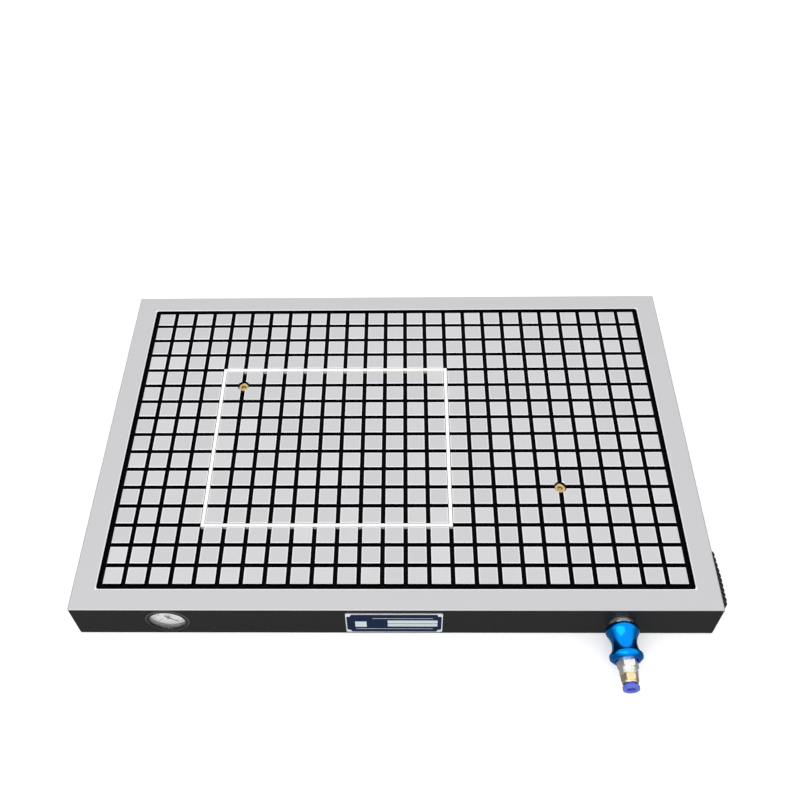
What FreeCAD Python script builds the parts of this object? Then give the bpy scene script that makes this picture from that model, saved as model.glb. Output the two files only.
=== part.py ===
import FreeCAD, Part
import math
import os

# A flat vacuum chuck: a ground aluminium block with a milled grid, two plugged suction ports,
# a cord seal laid in the grid, a built-in air ejector, a gauge and a hand slide valve.
# Millimetres. The origin is the middle of the underside, +X right, +Y to the back, +Z up.
# Small parts are drawn along an axis: a station is the distance from the face they stand on.

V = FreeCAD.Vector
UP = V(0, 0, 1)
FRONT = V(0, -1, 0)
BACK = V(0, 1, 0)
RIGHT = V(1, 0, 0)
LEFT = V(-1, 0, 0)
full_turn = 360.0
half_turn = full_turn / 2
quarter_turn = full_turn / 4

# Block
block_length = 600.0
block_width = 400.0
block_height = 48.0
block_edge_chamfer = 0.8

# Milled grid
land_spacing = 22.0
land_columns = 25
land_rows = 16
cord_groove_width = 4.2
border_groove_width = 5.4
groove_depth = 5.0
groove_corner_radius = 2.7

# Seal cord laid in the grid, by the numbers of the grid lines it follows
cord_first_column = 4
cord_last_column = 15
cord_first_row = 4
cord_last_row = 13
cord_side_gap = 0.1
cord_stands_proud = 0.5
cord_edge_chamfer = 0.7

# Suction ports and their plugs, by grid line
port_lines = {"left": (5, 5), "right": (20, 11)}
port_mouth_radius = 6.0
port_mouth_depth = 8.6
port_thread_radius = 4.0
thread_gap = 0.05
plug_head_radius = 4.9
plug_head_height = 3.4
plug_thread_length = 7.5
plug_key_flats = 5.0
plug_key_depth = 4.0
port_seal_height = 1.1
port_seal_width = 0.7
seal_seat_gap = 0.05

# Air gallery milled from below, with its cover
gallery_half_width = 10.0
gallery_roof = 26.0
gallery_from_end = 62.0
gallery_corner_radius = 4.0
cover_thickness = 7.0
cover_side_gap = 0.3
cover_edge_offset = 24.0
cover_corner_radius = 12.0
gasket_thickness = 1.0
gasket_inset = 4.0

# Clamp slots in the two ends
slot_length = 240.0
slot_height = 10.0
slot_depth = 12.0
slot_floor_height = 14.0
slot_middle_y = 20.0

# Nameplate
nameplate_length = 90.0
nameplate_height = 37.0
nameplate_thickness = 0.8
nameplate_middle_z = 22.7
nameplate_corner_radius = 1.5

# Height of the gauge, the valve and the ejector above the underside
service_height = 24.0

# Gauge: stations go inwards from the front face
gauge_from_end = 88.0
bezel_radius = 20.7
bezel_window_radius = 16.5
bezel_skirt_radius = 17.6
bezel_lip = 1.2
bezel_depth = 3.0
gauge_fit_gap = 0.3
thread_run_out = 2.0
lens_thickness = 1.5
case_radius = 18.3
case_wall = 1.0
case_back_thickness = 1.2
case_depth = 19.2
dial_behind_glass = 4.0
dial_thickness = 0.6
dial_hole_radius = 1.0

# Gauge movement
gear_module = 0.2
pinion_teeth = 12
sector_full_teeth = 90
sector_first_tooth = -2
sector_last_tooth = 10
pressure_angle = 20.0
gear_backlash = 0.03
pinion_addendum = 1.0
pinion_dedendum = 1.4
sector_addendum = 0.7
sector_dedendum = 1.35
pointer_turn = 270.0
pointer_zero = -45.0
pointer_reach = 12.5
pointer_tail = 4.5
pointer_hub_radius = 1.8
pointer_thickness = 0.5
pointer_half_width = 0.55
pointer_over_dial = 1.3
arbor_radius = 0.5
arbor_gap = 0.05
plate_thickness = 0.8
plate_half_width = 4.3
plate_under_dial = 0.8
plate_spacing = 4.2
pillar_half_width = 0.6
pillar_offset = 2.6
pillar_beyond_pinion = 2.9
sector_thickness = 0.6
sector_under_plate = 1.9
sector_rim = 1.5
sector_arm_width = 1.3
pinion_thickness = 1.6
sector_side = 140.0
tail_length = 3.0
tail_width = 1.5
link_pin_radius = 0.35
link_hole_gap = 0.08
link_width = 1.4
link_thickness = 0.5
link_over_sector = 0.3
link_slot_half_width = 0.65
link_eye_wall = 0.35
tube_middle_radius = 14.0
tube_width = 2.0
tube_depth = 5.0
tube_under_dial = 2.2
tube_root_angle = -90.0
tube_end_angle = 25.0
tip_pin_angle = 3.0
tip_arm_thickness = 1.6
tip_arm_half_width = 1.0
tip_arm_overlap = 4.0
socket_half_width = 5.5
socket_root_width = 4.0
socket_root_depth = 3.2
socket_stem_radius = 4.8
socket_stem_length = 12.0
socket_bore_radius = 1.5
gauge_passage_radius = 3.0

# Ejector: stations go inwards from the right-hand end
ejector_from_front = 40.0
ejector_bore_radius = 11.0
ejector_chamber_radius = 9.5
ejector_chamber_end = 110.0
ejector_fit_gap = 0.1
nozzle_tail_radius = 6.0
nozzle_collar_start = 72.0
nozzle_collar_length = 6.0
nozzle_inner_radius = 3.0
nozzle_jet_radius = 1.2
nozzle_jet_length = 10.0
nozzle_tip_radius = 4.0
nozzle_tip = 60.0
nozzle_shoulder = 68.0
nozzle_inlet_radius = 2.5
diffuser_depth = 56.0
diffuser_throat_radius = 2.5
diffuser_throat_length = 20.0
diffuser_exit_radius = 6.0
diffuser_end_gap = 1.0
passage_radius = 4.0
gallery_passage_drop = 4.0

# Exhaust silencer on the right-hand end
silencer_front_length = 28.0
silencer_back_length = 27.0
silencer_half_height = 15.0
silencer_reach = 9.4
silencer_corner_length = 5.0
silencer_corner_drop = 1.7
silencer_slope_start = 3.0
silencer_slope_drop = 3.6
silencer_flat_half_height = 7.0
silencer_edge_reach = 4.0
silencer_wall = 2.0
silencer_rib_spacing = 5.0
silencer_rib_width = 2.6
silencer_rib_height = 1.2
silencer_vent_half_height = 5.0
felt_gap = 0.3

# Hand slide valve: stations go outwards from the front face
valve_from_end = 90.0
valve_thread_radius = 6.6
valve_stem_length = 12.0
valve_hole_depth = 14.0
washer_thickness = 1.5
washer_radius = 11.0
collar_flats = 20.0
collar_length = 2.7
barrel_radius = 8.5
barrel_bore_radius = 3.5
barrel_slide_gap = 0.06
slide_travel = 7.0
slide_end_gap = 0.3
valve_hole_radius = 1.5
valve_land = 3.0
valve_spare = 0.6
bore_past_hole = 0.4
recess_depth = 1.2
sleeve_length = 33.6
sleeve_rear_radius = 15.6
sleeve_waist_radius = 11.4
sleeve_front_radius = 15.25
sleeve_bead_length = 7.0
sleeve_waist_length = 5.0
sleeve_flange_length = 6.0
sleeve_taper_end = 1.4
sleeve_mouth_radius = 10.3
front_end_flats = 17.0
front_end_length = 11.5
front_end_hexagon_length = 6.9
front_end_collar_radius = 8.3
front_end_spigot_radius = 5.5
front_end_spigot_length = 7.0

# Push-in fitting for the air tube
tube_radius = 4.0
tube_gap = 0.1
fitting_thread_length = 8.3
fitting_hex_flats = 14.0
fitting_hex_length = 7.6
fitting_nose_length = 2.0
fitting_nose_radius = 7.2
fitting_cavity_radius = 6.05
fitting_cavity_depth = 8.6
fitting_seat_depth = 3.4
fitting_through_radius = 3.0
collet_wall = 1.1
collet_flange_radius = 7.6
collet_flange_length = 3.8
collet_travel = 1.5
collet_inner_length = 6.0

# Values that follow from the sizes above
front_y = -block_width / 2
right_x = block_length / 2
gauge_x = gauge_from_end - right_x
valve_x = right_x - valve_from_end
ejector_y = front_y + ejector_from_front
groove_floor = block_height - groove_depth
grid_half_x = land_spacing * land_columns / 2
grid_half_y = land_spacing * land_rows / 2
port_row_y = abs(land_rows / 2 - port_lines["left"][1]) * land_spacing
port_seat = block_height - port_mouth_depth
gallery_left = gauge_x
gallery_right = right_x - gallery_from_end
cover_edge = gallery_half_width + cover_edge_offset
cover_seat = cover_thickness + gasket_thickness


def grid_x(line):
    """The place of an upright grid line, counted from the left border groove."""
    return (line - land_columns / 2) * land_spacing


def grid_y(line):
    """The place of a grid line that runs along X, counted from the back border groove."""
    return (land_rows / 2 - line) * land_spacing


def outward(solid):
    """The solid with its faces pointing out."""
    if solid.Volume < 0:
        solid.reverse()
    return solid


def block(low, high):
    """A box between two corners."""
    return Part.makeBox(high[0] - low[0], high[1] - low[1], high[2] - low[2], V(*low))


def rod(radius, start, direction, length):
    """A plain cylinder."""
    return Part.makeCylinder(radius, length, start, direction)


def placed(shape, start, direction):
    """The shape with its own Z axis laid along a direction."""
    shape.Placement = FreeCAD.Placement(start, FreeCAD.Rotation(UP, direction))
    return shape


def turned(outline, start, direction):
    """A turned piece from a closed outline of (station, radius) points."""
    points = [V(radius, 0, station) for station, radius in outline]
    face = Part.Face(Part.makePolygon(points + points[:1]))
    return placed(outward(face.revolve(V(0, 0, 0), UP, full_turn)), start, direction)


def ring(outer, inner, start, direction, length):
    """A plain ring."""
    return turned([(0, inner), (0, outer), (length, outer), (length, inner)], start, direction)


def polygon_prism(points, depth):
    """A prism on a flat outline in the XY plane."""
    corners = [V(x, y, 0) for x, y in points]
    face = Part.Face(Part.makePolygon(corners + corners[:1]))
    return face.extrude(V(0, 0, depth))


def hexagon(flats, depth):
    """A hexagonal prism about Z, measured across its flats."""
    reach = flats / math.sqrt(3)
    angles = [math.radians(60 * corner) for corner in range(6)]
    return polygon_prism([(reach * math.cos(a), reach * math.sin(a)) for a in angles], depth)


def rounded_plate(low, high, bottom, top, radius):
    """A plate with rounded upright corners."""
    plate = block((low[0], low[1], bottom), (high[0], high[1], top))
    upright = [edge for edge in plate.Edges if abs(edge.tangentAt(edge.FirstParameter).z) > 0.99]
    return plate.makeFillet(radius, upright)


def gallery_loop(offset, bottom, top, radius):
    """A rounded plate that stands an offset outside the middle line of the air gallery."""
    low = (gallery_left - offset, -port_row_y - offset)
    high = (gallery_right + offset, port_row_y + offset)
    return rounded_plate(low, high, bottom, top, radius)


def along_ejector(outline):
    """A turned shape about the ejector's axis. Its stations go inwards from the right-hand end."""
    return turned(outline, V(right_x, ejector_y, service_height), LEFT)


def write(name, shape):
    """One file for each piece."""
    shape.exportStep("parts/" + name + ".step")


# Block


def land_outline(column, row):
    """The outline of one land, between the grooves that border it."""
    inner = cord_groove_width / 2
    outer = border_groove_width / 2
    left = grid_x(column) + (outer if column == 0 else inner)
    right = grid_x(column + 1) - (outer if column == land_columns - 1 else inner)
    back = grid_y(row) - (outer if row == 0 else inner)
    near = grid_y(row + 1) + (outer if row == land_rows - 1 else inner)
    corners = [V(left, near, 0), V(right, near, 0), V(right, back, 0), V(left, back, 0)]
    return Part.makePolygon(corners + corners[:1])


def grooves():
    """All that the grid cutter takes out: a shallow pocket with the square lands left in it."""
    half_x = grid_half_x + border_groove_width / 2
    half_y = grid_half_y + border_groove_width / 2
    corners = [V(-half_x, -half_y, 0), V(half_x, -half_y, 0), V(half_x, half_y, 0), V(-half_x, half_y, 0)]
    wires = [Part.makePolygon(corners + corners[:1])]
    for column in range(land_columns):
        for row in range(land_rows):
            wires.append(land_outline(column, row))
    pocket = Part.makeFace(wires, "Part::FaceMakerBullseye")
    pocket.translate(V(0, 0, groove_floor))
    pocket = pocket.extrude(V(0, 0, groove_depth + 1))
    middles = [(edge, edge.CenterOfMass) for edge in pocket.Edges]
    corners = [edge for edge, at in middles if abs(at.x) > half_x - 0.1 and abs(at.y) > half_y - 0.1]
    return pocket.makeFillet(groove_corner_radius, corners)


def port_places():
    """The middle of each suction port."""
    return {side: (grid_x(column), grid_y(row)) for side, (column, row) in port_lines.items()}


def gallery_hollow():
    """The air gallery and the recess for its cover."""
    outer = gallery_loop(gallery_half_width, 0, gallery_roof, gallery_half_width)
    island = gallery_loop(-gallery_half_width, cover_seat, gallery_roof, gallery_corner_radius)
    recess = gallery_loop(cover_edge, -1, cover_seat, cover_corner_radius)
    return outer.cut(island).fuse(recess)


def end_slot(side):
    """A closed-ended clamp slot in one end, milled by a cutter as wide as the slot."""
    half = slot_length / 2
    radius = slot_height / 2
    middle_z = slot_floor_height + radius
    outer = side * (right_x + 1)
    inner = side * (right_x - slot_depth)
    low = (min(outer, inner), slot_middle_y - half + radius, slot_floor_height)
    high = (max(outer, inner), slot_middle_y + half - radius, slot_floor_height + slot_height)
    slot = block(low, high)
    for end_y in (low[1], high[1]):
        slot = slot.fuse(rod(radius, V(low[0], end_y, middle_z), RIGHT, slot_depth + 1))
    return slot.removeSplitter()


def port_hollow(x, y):
    """The mouth of a suction port and its threaded hole down into the gallery."""
    mouth = rod(port_mouth_radius, V(x, y, port_seat), UP, port_mouth_depth + 1)
    thread = rod(port_thread_radius, V(x, y, gallery_roof - 1), UP, port_seat - gallery_roof + 2)
    return mouth.fuse(thread)


def gauge_hollow():
    """The stepped pocket for the gauge, its threaded hole and the passage to the gallery."""
    at = V(gauge_x, front_y - 1, service_height)
    pocket_rim = bezel_depth + 1
    pocket = case_depth + gauge_fit_gap + 1
    thread = pocket + socket_stem_length + thread_run_out
    passage = abs(front_y) - 1 - port_row_y + 2
    outline = [(0, 0), (0, bezel_radius + gauge_fit_gap), (pocket_rim, bezel_radius + gauge_fit_gap),
               (pocket_rim, case_radius + gauge_fit_gap), (pocket, case_radius + gauge_fit_gap),
               (pocket, socket_stem_radius + thread_gap), (thread, socket_stem_radius + thread_gap),
               (thread, gauge_passage_radius), (passage, gauge_passage_radius), (passage, 0)]
    return turned(outline, at, BACK)


def valve_hollow():
    """The threaded inlet for the valve and its passage into the ejector bore."""
    at = V(valve_x, front_y - 1, service_height)
    thread = valve_hole_depth + 1
    passage = abs(front_y - ejector_y) + 1
    outline = [(0, 0), (0, valve_thread_radius), (thread, valve_thread_radius),
               (thread, passage_radius), (passage, passage_radius), (passage, 0)]
    return turned(outline, at, BACK)


def ejector_hollow():
    """The stepped ejector bore from the right-hand end, and its passage to the gallery."""
    end = ejector_chamber_end
    bore = along_ejector([(-1, 0), (-1, ejector_bore_radius), (diffuser_depth, ejector_bore_radius),
                          (diffuser_depth, ejector_chamber_radius), (end, ejector_chamber_radius), (end, 0)])
    passage_start = V(gallery_right, ejector_y, service_height - gallery_passage_drop)
    return bore.fuse(rod(passage_radius, passage_start, BACK, -port_row_y - ejector_y))


def chuck_body():
    """The aluminium block with everything that is milled and drilled into it."""
    body = block((-right_x, front_y, 0), (right_x, -front_y, block_height))
    body = body.makeChamfer(block_edge_chamfer, body.Edges)
    cuts = [gallery_hollow(), end_slot(-1), end_slot(1), gauge_hollow(), valve_hollow(), ejector_hollow()]
    cuts += [port_hollow(x, y) for x, y in port_places().values()]
    body = body.cut(grooves())
    return body.cut(cuts)


def seal_cord():
    """The cord seal: a closed loop pressed into four of the grooves."""
    half = cord_groove_width / 2 - cord_side_gap
    left = grid_x(cord_first_column)
    right = grid_x(cord_last_column)
    back = grid_y(cord_first_row)
    near = grid_y(cord_last_row)
    top = block_height + cord_stands_proud
    outer = block((left - half, near - half, groove_floor), (right + half, back + half, top))
    inner = block((left + half, near + half, groove_floor - 1), (right - half, back - half, top + 1))
    loop = outer.cut(inner)
    upper = [edge for edge in loop.Edges if all(abs(v.Z - top) < 0.001 for v in edge.Vertexes)]
    return loop.makeChamfer(cord_edge_chamfer, upper)


# Suction ports


def port_plug(x, y):
    """A brass screw plug with a hexagon socket. It leaves the port open to air when it is out."""
    head_bottom = port_seat + port_seal_height + 2 * seal_seat_gap
    shank = port_thread_radius - thread_gap
    length = plug_thread_length
    total = length + plug_head_height
    outline = [(0, 0), (0, shank), (length, shank), (length, plug_head_radius), (total, plug_head_radius), (total, 0)]
    plug = turned(outline, V(x, y, head_bottom - length), UP)
    key_floor = V(x, y, head_bottom + plug_head_height - plug_key_depth)
    key = placed(hexagon(plug_key_flats, plug_key_depth + 1), key_floor, UP)
    return plug.cut(key)


def port_seal(x, y):
    """The flat sealing ring under the head of a plug."""
    inner = port_thread_radius
    bottom = port_seat + seal_seat_gap
    return ring(inner + port_seal_width, inner, V(x, y, bottom), UP, port_seal_height)


# Air gallery cover


def bottom_cover():
    """The cover of the air gallery, ground flush with the underside."""
    return gallery_loop(cover_edge - cover_side_gap, 0, cover_thickness, cover_corner_radius - cover_side_gap)


def cover_gasket():
    """The flat gasket between the cover and the block."""
    inner = gallery_half_width + gasket_inset
    sheet = gallery_loop(cover_edge - cover_side_gap, cover_thickness, cover_seat, cover_corner_radius - cover_side_gap)
    return sheet.cut(gallery_loop(inner, cover_thickness - 1, cover_seat + 1, inner))


# Nameplate


def nameplate():
    """A thin bare plate on the front."""
    half_x = nameplate_length / 2
    half_z = nameplate_height / 2
    plate = rounded_plate((-half_x, -half_z), (half_x, half_z), 0, nameplate_thickness, nameplate_corner_radius)
    return placed(plate, V(0, front_y, nameplate_middle_z), FRONT)


# Gauge: its own plane has X right and Y up, and depth is counted inwards from the front face


lens_front = bezel_lip
dial_front = lens_front + lens_thickness + dial_behind_glass
dial_back = dial_front + dial_thickness
front_plate = dial_back + plate_under_dial
back_plate = front_plate + plate_thickness + plate_spacing
socket_front = back_plate + plate_thickness
sector_depth = front_plate + plate_thickness + sector_under_plate
link_depth = sector_depth + sector_thickness + link_over_sector
tube_front = dial_back + tube_under_dial
sector_pitch_radius = gear_module * sector_full_teeth / 2
pinion_pitch_radius = gear_module * pinion_teeth / 2
gear_centres = sector_pitch_radius + pinion_pitch_radius
sector_turn = pointer_turn * pinion_teeth / sector_full_teeth


def polar(radius, degrees, centre=(0, 0)):
    """A point of the gauge's plane, by radius and angle about a centre."""
    angle = math.radians(degrees)
    return (centre[0] + radius * math.cos(angle), centre[1] + radius * math.sin(angle))


sector_pivot = polar(gear_centres, sector_side - half_turn)
tail_rest_angle = sector_side + half_turn + sector_turn / 2
tail_end_angle = tail_rest_angle - sector_turn
tail_pin = polar(tail_length, tail_rest_angle, sector_pivot)
tail_pin_end = polar(tail_length, tail_end_angle, sector_pivot)
tip_pin = polar(tube_middle_radius, tip_pin_angle)


def in_gauge(shape, depth):
    """A shape drawn in the gauge's plane, with its back at a depth behind the front face."""
    return placed(shape, V(gauge_x, front_y + depth, service_height), FRONT)


def gauge_rod(radius, front, back, centre=(0, 0)):
    """A round bar along the gauge's axis, between two depths."""
    shape = rod(radius, V(centre[0], centre[1], 0), UP, back - front)
    return in_gauge(shape, back)


def gauge_bar(low, high, front, back):
    """A square bar along the gauge's axis, between two depths."""
    return in_gauge(block((low[0], low[1], 0), (high[0], high[1], back - front)), back)


def gauge_turned(outline):
    """A turned piece about the gauge's axis. Its stations are depths."""
    return turned(outline, V(gauge_x, front_y, service_height), BACK)


def flat_bar(start, end, half_width, past, thickness):
    """A flat square-ended bar between two points, drawn on past both of them."""
    dx = end[0] - start[0]
    dy = end[1] - start[1]
    length = math.hypot(dx, dy)
    along = (dx / length * past, dy / length * past)
    side = (-dy / length * half_width, dx / length * half_width)
    corners = [(start[0] - along[0] + side[0], start[1] - along[1] + side[1]),
               (start[0] - along[0] - side[0], start[1] - along[1] - side[1]),
               (end[0] + along[0] - side[0], end[1] + along[1] - side[1]),
               (end[0] + along[0] + side[0], end[1] + along[1] + side[1])]
    return polygon_prism(corners, thickness)


def gauge_case():
    """The cup that holds the movement, behind the bezel."""
    back = case_depth
    inner = case_radius - case_wall
    hole = socket_stem_radius + gauge_fit_gap
    return gauge_turned([(bezel_depth, inner), (bezel_depth, case_radius), (back, case_radius), (back, hole),
                         (back - case_back_thickness, hole), (back - case_back_thickness, inner)])


def gauge_bezel():
    """The black ring round the glass, flush with the front face."""
    return gauge_turned([(0, bezel_window_radius), (0, bezel_radius), (bezel_depth, bezel_radius),
                         (bezel_depth, bezel_skirt_radius), (bezel_lip, bezel_skirt_radius),
                         (bezel_lip, bezel_window_radius)])


def gauge_lens():
    """The flat glass, set back in the bezel."""
    return gauge_rod(bezel_skirt_radius - thread_gap, lens_front, lens_front + lens_thickness)


def gauge_dial():
    """The dial, with a hole for the arbor that carries the pointer."""
    disc = gauge_rod(case_radius - case_wall - gauge_fit_gap / 2, dial_front, dial_back)
    return disc.cut(gauge_rod(dial_hole_radius, dial_front - 1, dial_back + 1))


def gauge_socket():
    """The brass socket: a threaded stem, a seat for the movement and the root of the tube."""
    back = case_depth - case_back_thickness
    stem_end = case_depth + gauge_fit_gap + socket_stem_length
    low = tube_middle_radius + socket_root_depth / 2
    high = tube_middle_radius - socket_root_depth / 2
    half = socket_half_width
    seat = gauge_bar((-half, -half), (half, half), socket_front, back)
    root = gauge_bar((0, -low), (socket_root_width, -high), tube_front, back)
    arm = gauge_bar((0, -low), (socket_root_width, 0), socket_front + plate_thickness, back)
    stem = gauge_rod(socket_stem_radius, back, stem_end)
    bore = gauge_rod(socket_bore_radius, socket_front + plate_thickness, stem_end + 1)
    return seat.fuse([root, arm, stem]).removeSplitter().cut(bore)


def gauge_tube():
    """The curved pressure tube, with the arm and the pin at its tip."""
    inner = tube_middle_radius - tube_width / 2
    outer = tube_middle_radius + tube_width / 2
    section = Part.makePolygon([V(inner, 0, 0), V(outer, 0, 0), V(outer, 0, tube_depth),
                                V(inner, 0, tube_depth), V(inner, 0, 0)])
    tube = outward(Part.Face(section).revolve(V(0, 0, 0), UP, tube_root_angle + full_turn - tube_end_angle))
    tube.rotate(V(0, 0, 0), UP, tube_end_angle)
    arm_root = polar(tube_middle_radius, tube_end_angle + tip_arm_overlap)
    arm = flat_bar(arm_root, tip_pin, tip_arm_half_width, link_pin_radius, tip_arm_thickness)
    arm.translate(V(0, 0, tube_depth - tip_arm_thickness))
    tube = in_gauge(tube.fuse(arm).removeSplitter(), tube_front + tube_depth)
    pin_back = link_depth + link_thickness + link_over_sector
    return tube.fuse(gauge_rod(link_pin_radius, tube_front + tip_arm_thickness / 2, pin_back, tip_pin))


def pillar_places():
    """The three pillars between the plates of the movement."""
    beside = [polar(pillar_offset, sector_side + side, sector_pivot) for side in (-quarter_turn, quarter_turn)]
    return beside + [polar(pillar_beyond_pinion, sector_side)]


def gauge_frame():
    """The two plates of the movement and the square pillars, which carry the dial."""
    plates = []
    for front in (front_plate, back_plate):
        plate = flat_bar((0, 0), sector_pivot, plate_half_width, plate_half_width, plate_thickness)
        plates.append(in_gauge(plate, front + plate_thickness))
    pillars = []
    for x, y in pillar_places():
        low = (x - pillar_half_width, y - pillar_half_width)
        high = (x + pillar_half_width, y + pillar_half_width)
        pillars.append(gauge_bar(low, high, dial_back, back_plate + plate_thickness / 2))
    frame = plates[0].fuse(plates[1:] + pillars).removeSplitter()
    hole = arbor_radius + arbor_gap
    return frame.cut([gauge_rod(hole, front_plate - 1, socket_front + 1, place) for place in ((0, 0), sector_pivot)])


def tooth_flank(teeth, addendum, dedendum):
    """One flank of an involute tooth, from root to tip, as (radius, half angle)."""
    pitch = gear_module * teeth / 2
    base = pitch * math.cos(math.radians(pressure_angle))
    tip = pitch + addendum * gear_module
    root = pitch - dedendum * gear_module

    def involute(radius):
        angle = math.acos(min(1.0, base / radius))
        return math.tan(angle) - angle

    at_pitch = math.pi / (2 * teeth) - gear_backlash / (2 * pitch) + involute(pitch)
    start = max(base, root)
    flank = [(start + (tip - start) * step / 3) for step in range(4)]
    flank = [(radius, at_pitch - involute(radius)) for radius in flank]
    if root < base:
        flank.insert(0, (root, flank[0][1]))
    return flank


def tooth_points(teeth, addendum, dedendum, middle, centre):
    """The outline of one tooth about a middle direction, from one root to the other."""
    flank = tooth_flank(teeth, addendum, dedendum)
    rising = [polar(radius, middle - math.degrees(half), centre) for radius, half in flank]
    falling = [polar(radius, middle + math.degrees(half), centre) for radius, half in reversed(flank)]
    return rising + falling


def gauge_pinion():
    """The pinion and its arbor, which carries the pointer."""
    outline = []
    for tooth in range(pinion_teeth):
        middle = sector_side - half_turn + tooth * full_turn / pinion_teeth
        outline += tooth_points(pinion_teeth, pinion_addendum, pinion_dedendum, middle, (0, 0))
    back = sector_depth + (pinion_thickness + sector_thickness) / 2
    wheel = in_gauge(polygon_prism(outline, pinion_thickness), back)
    arbor_front = dial_front - pointer_over_dial - pointer_thickness
    return wheel.fuse(gauge_rod(arbor_radius, arbor_front, socket_front - arbor_gap))


def gauge_sector():
    """The toothed sector, its arbor, and the tail that the link pulls."""
    step = full_turn / sector_full_teeth
    inner = sector_pitch_radius - sector_dedendum * gear_module - sector_rim
    outline = []
    for tooth in range(sector_first_tooth, sector_last_tooth + 1):
        middle = sector_side + (tooth + 0.5) * step
        outline += tooth_points(sector_full_teeth, sector_addendum, sector_dedendum, middle, sector_pivot)
    first = sector_side + sector_first_tooth * step
    last = sector_side + (sector_last_tooth + 1) * step
    rim_steps = sector_last_tooth - sector_first_tooth
    rim = [polar(inner, last + (first - last) * count / rim_steps, sector_pivot) for count in range(rim_steps + 1)]
    arms = []
    for angle in (first + step, last - step):
        end = polar(inner + sector_rim / 2, angle, sector_pivot)
        arms.append(flat_bar(sector_pivot, end, sector_arm_width / 2, sector_arm_width / 2, sector_thickness))
    arms.append(flat_bar(sector_pivot, tail_pin, tail_width / 2, tail_width / 2, sector_thickness))
    shape = polygon_prism(outline + rim, sector_thickness).fuse(arms).removeSplitter()
    shape = in_gauge(shape, sector_depth + sector_thickness)
    arbor = gauge_rod(arbor_radius, front_plate + arbor_gap, socket_front - arbor_gap, sector_pivot)
    pin_back = link_depth + link_thickness + link_over_sector
    pin = gauge_rod(link_pin_radius, sector_depth + sector_thickness / 2, pin_back, tail_pin)
    return shape.fuse([arbor, pin])


def gauge_link():
    """The link from the tip of the tube to the sector. Its tip end is slotted."""
    shift = (tail_pin[0] - tail_pin_end[0], tail_pin[1] - tail_pin_end[1])
    slot_end = (tip_pin[0] + shift[0], tip_pin[1] + shift[1])
    eye = flat_bar(tip_pin, slot_end, link_slot_half_width + link_eye_wall, link_slot_half_width + link_eye_wall,
                   link_thickness)
    bar = flat_bar(tail_pin, tip_pin, link_width / 2, link_width / 2, link_thickness)
    slot = flat_bar(tip_pin, slot_end, link_slot_half_width, link_slot_half_width, link_thickness + 2)
    slot.translate(V(0, 0, -1))
    hole = rod(link_pin_radius + link_hole_gap, V(tail_pin[0], tail_pin[1], -1), UP, link_thickness + 2)
    return in_gauge(bar.fuse(eye).removeSplitter().cut([slot, hole]), link_depth + link_thickness)


def gauge_pointer():
    """The pointer at zero, pressed on the front of the pinion's arbor."""
    tip = polar(pointer_reach, pointer_zero)
    tail = polar(pointer_tail, pointer_zero + half_turn)
    side = polar(pointer_half_width, pointer_zero + quarter_turn)
    blade = polygon_prism([tip, side, (tail[0] + side[0], tail[1] + side[1]),
                           (tail[0] - side[0], tail[1] - side[1]), (-side[0], -side[1])], pointer_thickness)
    hub = rod(pointer_hub_radius, V(0, 0, 0), UP, pointer_thickness)
    back = dial_front - pointer_over_dial
    pointer = in_gauge(blade.fuse(hub).removeSplitter(), back)
    return pointer.cut(gauge_rod(arbor_radius, back - pointer_thickness - 1, back + 1))


# Ejector


def ejector_nozzle():
    """The nozzle that shoots the compressed air across the gap into the diffuser."""
    radius = ejector_chamber_radius - ejector_fit_gap
    end = ejector_chamber_end
    collar_end = nozzle_collar_start + nozzle_collar_length
    jet_end = nozzle_tip + nozzle_jet_length
    outline = [(nozzle_tip, nozzle_jet_radius), (nozzle_tip, nozzle_tip_radius), (nozzle_shoulder, nozzle_tip_radius),
               (nozzle_shoulder, nozzle_tail_radius), (nozzle_collar_start, nozzle_tail_radius),
               (nozzle_collar_start, radius), (collar_end, radius), (collar_end, nozzle_tail_radius),
               (end, nozzle_tail_radius), (end, nozzle_inner_radius), (jet_end, nozzle_inner_radius),
               (jet_end, nozzle_jet_radius)]
    inlet = rod(nozzle_inlet_radius, V(valve_x, ejector_y - radius, service_height), BACK, radius)
    return along_ejector(outline).cut(inlet)


def ejector_diffuser():
    """The diffuser that draws the chuck's air along and lets it out at the end."""
    radius = ejector_bore_radius - ejector_fit_gap
    throat_end = diffuser_depth - diffuser_throat_length
    return along_ejector([(diffuser_end_gap, diffuser_exit_radius), (diffuser_end_gap, radius),
                          (diffuser_depth, radius), (diffuser_depth, diffuser_throat_radius),
                          (throat_end, diffuser_throat_radius)])


# Silencer


def silencer_form(inset):
    """The silencer's bevelled form, which slopes down to the block at the back, drawn in by an inset."""
    near = ejector_y - silencer_front_length + inset
    far = ejector_y + silencer_back_length - inset
    half = silencer_half_height - inset
    reach = silencer_reach - inset
    edge = silencer_edge_reach - inset / 2
    flat = silencer_flat_half_height - inset / 2
    corners = [V(0, 0, -half), V(edge, 0, -half), V(reach, 0, -flat),
               V(reach, 0, flat), V(edge, 0, half), V(0, 0, half)]
    face = Part.Face(Part.makePolygon(corners + corners[:1]))
    face.translate(V(right_x, near, service_height))
    slab = outward(face.extrude(V(0, far - near, 0)))
    outer = right_x + reach
    outline = [(right_x - 1, near), (outer - silencer_corner_drop, near), (outer, near + silencer_corner_length),
               (outer, ejector_y + silencer_slope_start), (outer - silencer_slope_drop, far), (right_x - 1, far)]
    return slab.common(polygon_prism(outline, block_height))


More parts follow.
